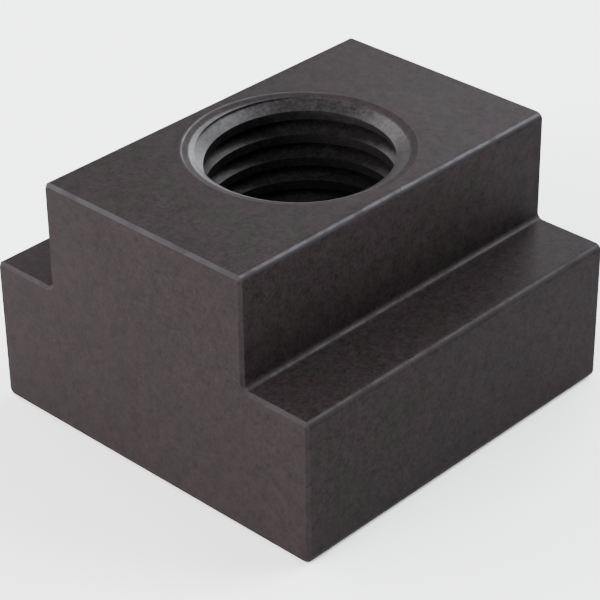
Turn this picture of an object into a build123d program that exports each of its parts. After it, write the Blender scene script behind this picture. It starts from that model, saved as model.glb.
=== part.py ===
from build123d import *
from build123d.topology import SkipClean
import os
from math import ceil, radians, tan

# T slot nut: one solid steel block, milled to a T section and tapped right through.
# X runs across the table slot, Y along it and Z up out of it.
# The origin is on the thread's axis, at the level of the bottom face.

# ---------------------------------------------------------------- driving sizes (mm)
slot_width = 20.0             # the table slot that the neck runs in
slot_clearance = 0.2          # what the neck is narrower than that slot
flange_width = 32.0           # across the foot, which runs under the table's lips
flange_height = 12.0          # bottom face to the two shoulders
total_height = 21.0           # bottom face to top face
nut_length = 32.5             # along the slot

long_edge_radius = 0.55       # long edges of the neck and the shoulders
bottom_edge_radius = 0.7      # long edges of the bottom face
inner_corner_radius = 0.5     # along the foot of the neck, on both sides
end_chamfer = 0.25            # all round the two end faces

thread_diameter = 16.0        # metric coarse thread
thread_pitch = 2.0
thread_left_hand = True       # seen down the bore, it climbs clockwise
thread_start = 1.6            # height of a groove's middle where it crosses the X axis
bore_diameter = 14.2          # drilled for the thread, so also across its crests
countersink_diameter = 16.7   # of the cone that leads into the thread, at both ends
countersink_angle = 120.0     # between opposite sides of that cone
mouth_chamfer = 0.35          # breaks the countersink's outer edge

# ---------------------------------------------------------------- sizes that follow
neck_width = slot_width - slot_clearance

# ISO metric profile: a 60 degree V, whose crests are what the drilled bore leaves of them.
flank_slope = tan(radians(30))
major_radius = thread_diameter / 2
minor_radius = bore_diameter / 2

# The cutter's V is sharp. It runs on past both radii by the height of a V that is an eighth
# of the pitch wide: out to the full triangle's corner, and in, short of its next turn.
run_on = thread_pitch / 16 / flank_slope
cutter_tip = major_radius + run_on
cutter_back = minor_radius - run_on
cutter_width = 2 * (cutter_tip - cutter_back) * flank_slope

countersink_radius = countersink_diameter / 2
countersink_depth = (countersink_radius - minor_radius) / tan(radians(countersink_angle / 2))

os.makedirs("parts", exist_ok=True)


def groove_turn(start):
    """One turn of the thread's groove as a solid, whose middle climbs a pitch from start."""
    with BuildPart() as groove:
        with BuildLine() as path:
            Helix(
                thread_pitch,
                thread_pitch,
                major_radius,
                center=(0, 0, start),
                lefthand=thread_left_hand,
            )
        with BuildSketch(Plane.XZ):
            with BuildLine():
                Polyline(
                    (cutter_back, start - cutter_width / 2),
                    (cutter_tip, start),
                    (cutter_back, start + cutter_width / 2),
                    close=True,
                )
            make_face()
        sweep(path=path.line, is_frenet=True)
    return groove.part


with BuildPart() as nut_body:
    # The T section: its right half, mirrored, then rounded at each kind of corner.
    with BuildSketch(Plane.XZ) as section:
        with BuildLine():
            Polyline(
                (0, 0),
                (flange_width / 2, 0),
                (flange_width / 2, flange_height),
                (neck_width / 2, flange_height),
                (neck_width / 2, total_height),
                (0, total_height),
            )
            mirror(about=Plane.YZ)
        make_face()
        fillet(section.vertices().group_by(Axis.Y)[0], bottom_edge_radius)
        fillet(section.vertices().group_by(Axis.Y)[-1], long_edge_radius)
        shoulders = section.vertices().filter_by_position(Axis.Y, flange_height, flange_height)
        fillet(shoulders.group_by(Axis.X)[0] + shoulders.group_by(Axis.X)[-1], long_edge_radius)
        shoulders = section.vertices().filter_by_position(Axis.Y, flange_height, flange_height)
        fillet(shoulders.sort_by(Axis.X)[1:-1], inner_corner_radius)
    extrude(amount=nut_length / 2, both=True)
    chamfer(nut_body.faces().filter_by(Axis.Y).edges(), end_chamfer)

    # A countersink at each end, down to the thread's crests, with its outer edge broken.
    for end in (Plane.XY.offset(total_height), -Plane.XY):
        with Locations(end):
            Cone(
                minor_radius,
                countersink_radius,
                countersink_depth,
                align=(Align.CENTER, Align.CENTER, Align.MAX),
                mode=Mode.SUBTRACT,
            )
    rims = nut_body.edges().filter_by(GeomType.CIRCLE).group_by(SortBy.RADIUS)[-1]
    chamfer(rims, mouth_chamfer)

    # The bore is opened a quarter at a time, and then the thread is cut a turn at a time, from
    # below the bottom face to above the top. Left unmerged, each turn's crest is four faces.
    with SkipClean():
        for quarter in range(4):
            with BuildSketch():
                with BuildLine():
                    arc = CenterArc((0, 0), minor_radius, 90 * quarter, 90)
                    Polyline(arc @ 1, (0, 0), arc @ 0)
                make_face()
            extrude(amount=total_height, mode=Mode.SUBTRACT, clean=False)

        for turn in range(-2, ceil(total_height / thread_pitch) + 1):
            start = thread_start + turn * thread_pitch
            add(groove_turn(start), mode=Mode.SUBTRACT, clean=False)

nut_body.part.label = "nut_body"
export_step(nut_body.part, "parts/nut_body.step")
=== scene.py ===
import math

import bpy
from mathutils import Matrix, Vector


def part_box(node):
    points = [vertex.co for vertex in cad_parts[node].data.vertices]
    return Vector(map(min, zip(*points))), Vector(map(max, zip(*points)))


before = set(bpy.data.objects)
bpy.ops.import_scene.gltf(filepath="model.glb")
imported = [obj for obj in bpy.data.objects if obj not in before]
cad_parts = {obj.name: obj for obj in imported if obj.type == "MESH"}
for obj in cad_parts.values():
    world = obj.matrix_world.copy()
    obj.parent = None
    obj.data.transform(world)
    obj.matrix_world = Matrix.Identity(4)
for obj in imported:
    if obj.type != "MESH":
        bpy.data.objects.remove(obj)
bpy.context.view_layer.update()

NODE = "nut_body"
MM = 0.001
node_low, node_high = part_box(NODE)

# ---------------------------------------------------------------- camera
CAMERA_PLACE = Vector((0.105890, -0.110207, 0.102693))
CAMERA_TURN = -46.098                 # degrees from +X towards +Y to the side it looks from
CAMERA_HEIGHT = 31.850                # degrees that it looks down
CAMERA_ROLL = -0.809
LENS_MM = 141.85
SENSOR_MM = 36.0
NEAR_CLIP, FAR_CLIP = 0.005, 20.0

camera_data = bpy.data.cameras.new("camera")
camera_data.sensor_width = SENSOR_MM
camera_data.lens = LENS_MM
camera_data.clip_start = NEAR_CLIP
camera_data.clip_end = FAR_CLIP
camera = bpy.data.objects.new("camera", camera_data)
bpy.context.scene.collection.objects.link(camera)
camera.matrix_world = (
    Matrix.Translation(CAMERA_PLACE)
    @ Matrix.Rotation(math.radians(CAMERA_TURN + 90), 4, "Z")
    @ Matrix.Rotation(math.radians(90 - CAMERA_HEIGHT), 4, "X")
    @ Matrix.Rotation(math.radians(CAMERA_ROLL), 4, "Z")
)
bpy.context.scene.camera = camera


# ---------------------------------------------------------------- node helpers
class Nodes:
    """A node tree with short calls for the nodes that it is made of."""

    def __init__(self, owner):
        owner.use_nodes = True
        self.tree = owner.node_tree

    def add(self, kind, *values, **settings):
        """A shader node, with its settings, whose first inputs are the values given."""
        node = self.tree.nodes.new("ShaderNode" + kind)
        for key, value in settings.items():
            setattr(node, key, value)
        for value, socket in zip(values, node.inputs):
            self.join(value, socket)
        return node

    def join(self, value, socket):
        """Link the socket where value is an output, and otherwise set it."""
        if isinstance(value, bpy.types.NodeSocket):
            self.tree.links.new(value, socket)
        else:
            socket.default_value = value

    def calc(self, operation, *values):
        return self.add("Math", *values, operation=operation).outputs[0]

    def ramp(self, value, start, end, low=0.0, high=1.0):
        """A smooth step from low to high while value goes from start to end."""
        step = self.add("MapRange", value, start, end, low, high, interpolation_type="SMOOTHSTEP")
        return step.outputs[0]


class Finish(Nodes):
    """A procedural material round one Principled shader."""

    def __init__(self, name):
        self.material = bpy.data.materials.new(name)
        super().__init__(self.material)
        self.shader = self.tree.nodes["Principled BSDF"]

    def set(self, **values):
        """Set or link the shader's sockets, named with _ for a space."""
        for name, value in values.items():
            self.join(value, self.shader.inputs[name.replace("_", " ")])

    def noise(self, place, size, detail, seed):
        """Noise from about 0.3 to 0.7 whose lumps are size metres across."""
        node = self.add("TexNoise", noise_dimensions="4D")
        sockets = {"Vector": place, "W": seed, "Scale": 1 / size, "Detail": detail}
        for name, value in sockets.items():
            self.join(value, node.inputs[name])
        return node.outputs["Fac"]

    def blend(self, share, first, second):
        """A colour that goes from first to second as share goes from 0 to 1."""
        node = self.add("Mix", data_type="RGBA")
        colours = node.inputs[6:8]
        for value, socket in zip((share, first, second), (node.inputs[0], *colours)):
            self.join(value, socket)
        return node.outputs[2]


# ---------------------------------------------------------------- studio
FLOOR_RADIUS = 1.0
FLOOR_SIDES = 64
PAPER = (0.86, 0.86, 0.86, 1)
WHITE = (1, 1, 1, 1)
HORIZON_TOP = 0.07                    # the sine of an elevation, as is SKY_START
SKY_START = 0.15
HORIZON_STRENGTH = 2.2
SKY_STRENGTH = 0.43
LIGHT_REACH = 0.8
NEUTRAL = (1, 1, 1)
COOL = (0.91, 0.96, 1.0)

paper = Finish("pale_floor")
paper.set(Base_Color=PAPER, Roughness=0.9, Specular_IOR_Level=0.1)

floor_mesh = bpy.data.meshes.new("floor")
corners = [math.tau * side / FLOOR_SIDES for side in range(FLOOR_SIDES)]
ring = [(FLOOR_RADIUS * math.cos(turn), FLOOR_RADIUS * math.sin(turn), 0) for turn in corners]
floor_mesh.from_pydata(ring, [], [tuple(range(FLOOR_SIDES))])
floor_mesh.materials.append(paper.material)
floor = bpy.data.objects.new("floor", floor_mesh)
bpy.context.scene.collection.objects.link(floor)
floor.location.z = node_low.z

# the sky is pale at the horizon, as a backdrop behind the floor's edge, and dim above it
world = bpy.data.worlds.new("studio")
bpy.context.scene.world = world
sky = Nodes(world)
direction = sky.add("TexCoord").outputs["Generated"]
height = sky.add("SeparateXYZ", direction).outputs["Z"]
strength = sky.ramp(height, HORIZON_TOP, SKY_START, HORIZON_STRENGTH, SKY_STRENGTH)
backdrop = sky.tree.nodes["Background"]
sky.join(WHITE, backdrop.inputs["Color"])
sky.join(strength, backdrop.inputs["Strength"])


def soft_box(name, turn, height, size, watts, tint=NEUTRAL):
    """A square light LIGHT_REACH away that faces the nut, size metres wide.

    It stands at a turn from +X towards +Y and at a height over the floor, in degrees.
    """
    light = bpy.data.lights.new(name, "AREA")
    light.shape = "SQUARE"
    light.size = size
    light.energy = watts
    light.color = tint
    lamp = bpy.data.objects.new(name, light)
    bpy.context.scene.collection.objects.link(lamp)
    aim = Vector((1, 0, 0))
    aim.rotate(Matrix.Rotation(-math.radians(height), 3, "Y"))
    aim.rotate(Matrix.Rotation(math.radians(turn), 3, "Z"))
    lamp.location = aim * LIGHT_REACH
    lamp.rotation_mode = "QUATERNION"
    lamp.rotation_quaternion = aim.to_track_quat("Z", "Y")


soft_box("front_low", 260, 14, 0.35, 20.0)
soft_box("front_high", 305, 45, 0.50, 9.0)
soft_box("left_front", 225, 20, 0.40, 8.5)
soft_box("left_back", 185, 36, 0.40, 8.5)
soft_box("back_low", 114, 26, 0.38, 8.2, COOL)
soft_box("back_high", 75, 54, 0.40, 7.5, COOL)
soft_box("right_back", 56, 42, 0.40, 8.0, COOL)

# ---------------------------------------------------------------- blackened steel
OXIDE_PURPLE = (0.0131, 0.0100, 0.0105, 1)
OXIDE_NEUTRAL = (0.0122, 0.0103, 0.0101, 1)
OXIDE_METALLIC = 0.40
OXIDE_ROUGHNESS = 0.60
MILLED_CONTRAST = 1.25                # of the oxide's patches and speckle
SAWN_CONTRAST = 0.82
THREAD_OXIDE = (0.0160, 0.0148, 0.0150, 1)
CONE_OXIDE = (0.0215, 0.0200, 0.0206, 1)
# the lighter colour of edges rubbed through the oxide, also used as a painted highlight on upward
# edges and on the mouth's rim
RUBBED_STEEL_AND_HIGHLIGHT = (0.021, 0.020, 0.0214, 1)
RUBBED_METALLIC = 0.80                # of rubbed edges and of the bore
RUBBED_ROUGHNESS = 0.42

CONE_RADIUS = 8.05 * MM               # outer edge of the countersink's cone
MOUTH_RADIUS = 8.7 * MM               # outer edge of the rim that is broken round it
RIM_HALF_WIDTH = 0.16 * MM            # of the painted highlight line along MOUTH_RADIUS
THREAD_END, CONE_START = 9.3 * MM, 9.9 * MM     # up and down from the middle of the height

steel = Finish("black_oxide_steel")
coordinates = steel.add("TexCoord").outputs
place = coordinates["Object"]
x, y, z = steel.add("SeparateXYZ", place).outputs
nx, ny, nz = steel.add("SeparateXYZ", coordinates["Normal"]).outputs

# the oxide's purplish and neutral patches, its fine grain, and faint milling marks along Y
patches = steel.ramp(steel.noise(place, 2.4 * MM, 4.0, 0.0), 0.40, 0.60)
clouds = steel.noise(place, 7 * MM, 3.0, 4.0)
grain = steel.noise(place, 0.24 * MM, 3.0, 8.0)
mottle = steel.noise(place, 0.8 * MM, 2.0, 20.0)
along_y = steel.add("Mapping", place, vector_type="TEXTURE")
steel.join((1, 30, 1), along_y.inputs["Scale"])
streaks = steel.noise(along_y.outputs[0], 0.16 * MM, 2.0, 12.0)

# edges are where no part of the normal is near 1 and are rubbed through the oxide; those that
# face up get more of the lighter colour as a painted highlight, those low on the nut are rubbed
# less, and those inside the mouth not at all
axis_square = steel.calc("ADD", steel.calc("MULTIPLY", x, x), steel.calc("MULTIPLY", y, y))
radius = steel.calc("SQRT", axis_square)
across, along, upright = (steel.calc("ABSOLUTE", part) for part in (nx, ny, nz))
flatness = steel.calc("MAXIMUM", steel.calc("MAXIMUM", across, along), upright)
facing_up_highlight = steel.ramp(nz, 0.1, 0.5, 0.45, 1.0)
off_mouth = steel.ramp(radius, MOUTH_RADIUS, MOUTH_RADIUS + 0.2 * MM)
high_up = steel.ramp(z, 13 * MM, 20 * MM, 0.55, 1.0)
edge = steel.ramp(flatness, 0.985, 0.88)
for limit in (facing_up_highlight, off_mouth, high_up):
    edge = steel.calc("MULTIPLY", edge, limit)

# the mouth's rim gets a painted highlight in the lighter rubbed colour, strongest at the left
# towards -X, and a faint rubbed line all round it
from_rim = steel.calc("ABSOLUTE", steel.calc("SUBTRACT", radius, MOUTH_RADIUS))
on_rim = steel.ramp(from_rim, RIM_HALF_WIDTH, 0.05 * MM)
rim_highlight = steel.calc("MULTIPLY", on_rim, steel.ramp(x, -2 * MM, -8 * MM, 0.1, 1.0))
uneven = steel.ramp(steel.noise(place, 1.6 * MM, 3.0, 16.0), 0.35, 0.6, 0.60, 1.0)
# edge wear, with the painted highlights of upward edges and of the rim
wear_and_highlights = steel.calc("MULTIPLY", steel.calc("MAXIMUM", edge, rim_highlight), uneven)

# the sawn end faces are more even than the milled ones
contrast = steel.ramp(along, 0.6, 0.9, MILLED_CONTRAST, SAWN_CONTRAST)
share = steel.calc("MULTIPLY_ADD", steel.calc("SUBTRACT", patches, 0.5), contrast, 0.5)
face_oxide = steel.blend(share, OXIDE_PURPLE, OXIDE_NEUTRAL)
speckle = steel.calc("MULTIPLY_ADD", grain, 1.4, steel.calc("MULTIPLY_ADD", mottle, 0.6, -1.0))
speckle = steel.calc("MULTIPLY_ADD", speckle, contrast, 1.0)

# the bore and its countersinks are cut smoother than both, and blackened less deeply
bored = steel.ramp(radius, CONE_RADIUS + 0.22 * MM, CONE_RADIUS)
middle = (node_low.z + node_high.z) / 2
off_middle = steel.calc("ABSOLUTE", steel.calc("SUBTRACT", z, middle))
in_cone = steel.ramp(off_middle, THREAD_END, CONE_START)
bore_oxide = steel.blend(in_cone, THREAD_OXIDE, CONE_OXIDE)
oxide = steel.blend(bored, face_oxide, bore_oxide)
speckled = steel.add("VectorMath", oxide, operation="SCALE")
steel.join(speckle, speckled.inputs["Scale"])

gloss = steel.calc("MAXIMUM", wear_and_highlights, bored)
roughness = steel.ramp(gloss, 0, 1, OXIDE_ROUGHNESS, RUBBED_ROUGHNESS)
unevenness = steel.calc("MULTIPLY_ADD", clouds, 0.10, -0.10)
unevenness = steel.calc("MULTIPLY_ADD", grain, 0.10, unevenness)
relief = steel.add("Bump")
steel.join(0.3, relief.inputs["Strength"])
steel.join(0.012 * MM, relief.inputs["Distance"])
steel.join(steel.calc("MULTIPLY_ADD", streaks, 0.6, grain), relief.inputs["Height"])
# the base colour turns to the rubbed colour on worn edges and where highlights are painted
steel.set(
    Base_Color=steel.blend(wear_and_highlights, speckled.outputs[0], RUBBED_STEEL_AND_HIGHLIGHT),
    Metallic=steel.ramp(gloss, 0, 1, OXIDE_METALLIC, RUBBED_METALLIC),
    Roughness=steel.calc("ADD", roughness, unevenness),
    Specular_IOR_Level=0.0,
    Normal=relief.outputs[0],
)

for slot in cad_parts[NODE].material_slots:
    slot.material = steel.material
